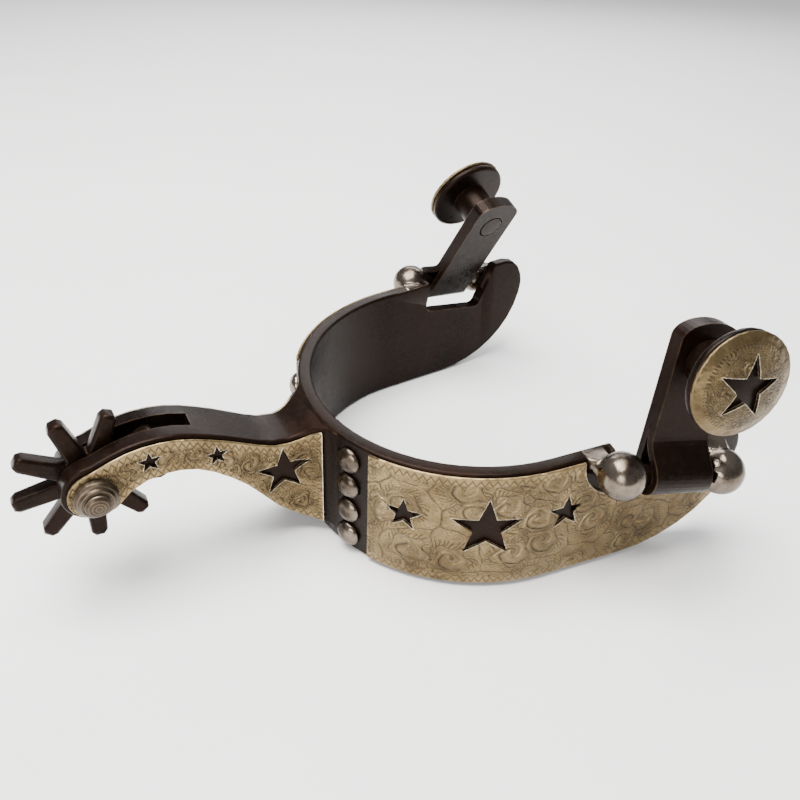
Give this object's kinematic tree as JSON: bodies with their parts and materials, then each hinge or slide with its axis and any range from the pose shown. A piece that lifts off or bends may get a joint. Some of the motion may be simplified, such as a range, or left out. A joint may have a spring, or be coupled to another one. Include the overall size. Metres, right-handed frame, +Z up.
{
  "type": "western spur",
  "caption": "Western spur: U-shaped heel band, gooseneck shank with a spinning rowel, engraved overlays with star windows, and swinging button hangers for the strap.",
  "frame": {"origin": "middle of the object's box, at its bottom", "axes": "+X from the shank to the open end of the band, +Z up, +Y to the left"},
  "size_m": [0.1464, 0.1154, 0.0633],
  "materials": {
    "browned_steel": "browned, satin, worn at the edges",
    "rowel_steel": "browned, satin",
    "turned_steel": "turned, dull",
    "nickel_silver": "nickel silver, engraved, satin",
    "polished_steel": "polished"
  },
  "bodies": {
    "band": {"heel_band": "browned_steel", "rowel_pin": "turned_steel", "rowel_washer_left": "turned_steel", "shank_overlay_left": "nickel_silver", "band_overlay_left": "nickel_silver", "heel_stud_left_1": "polished_steel", "heel_stud_left_2": "polished_steel", "heel_stud_left_3": "polished_steel", "heel_stud_left_4": "polished_steel", "hinge_lug_left_rear": "polished_steel", "hinge_lug_left_front": "polished_steel", "hinge_pin_left": "browned_steel", "rowel_washer_right": "turned_steel", "shank_overlay_right": "nickel_silver", "band_overlay_right": "nickel_silver", "heel_stud_right_1": "polished_steel", "heel_stud_right_2": "polished_steel", "heel_stud_right_3": "polished_steel", "heel_stud_right_4": "polished_steel", "hinge_lug_right_rear": "polished_steel", "hinge_lug_right_front": "polished_steel", "hinge_pin_right": "browned_steel"},
    "rowel": {"rowel": "rowel_steel"},
    "hanger_left": {"hanger_left": "browned_steel", "button_stud_left": "browned_steel", "concho_left": "nickel_silver"},
    "hanger_right": {"hanger_right": "browned_steel", "button_stud_right": "browned_steel", "concho_right": "nickel_silver"}
  },
  "joints": [
    {"name": "rowel_spin", "type": "hinge", "parent": "band", "child": "rowel", "pos_m": [-0.0584, 0.00167, 0.0265], "axis": [0, 1, 0], "continuous": true},
    {"name": "hanger_left_swing", "type": "hinge", "parent": "band", "child": "hanger_left", "pos_m": [0.04961, 0.05051, 0.0263], "axis": [0.973, 0.1698, -0.1564], "range_deg": [-178, 71]},
    {"name": "hanger_right_swing", "type": "hinge", "parent": "band", "child": "hanger_right", "pos_m": [0.04961, -0.04717, 0.0263], "axis": [0.973, -0.1698, -0.1564], "range_deg": [-89, 162]}
  ]
}
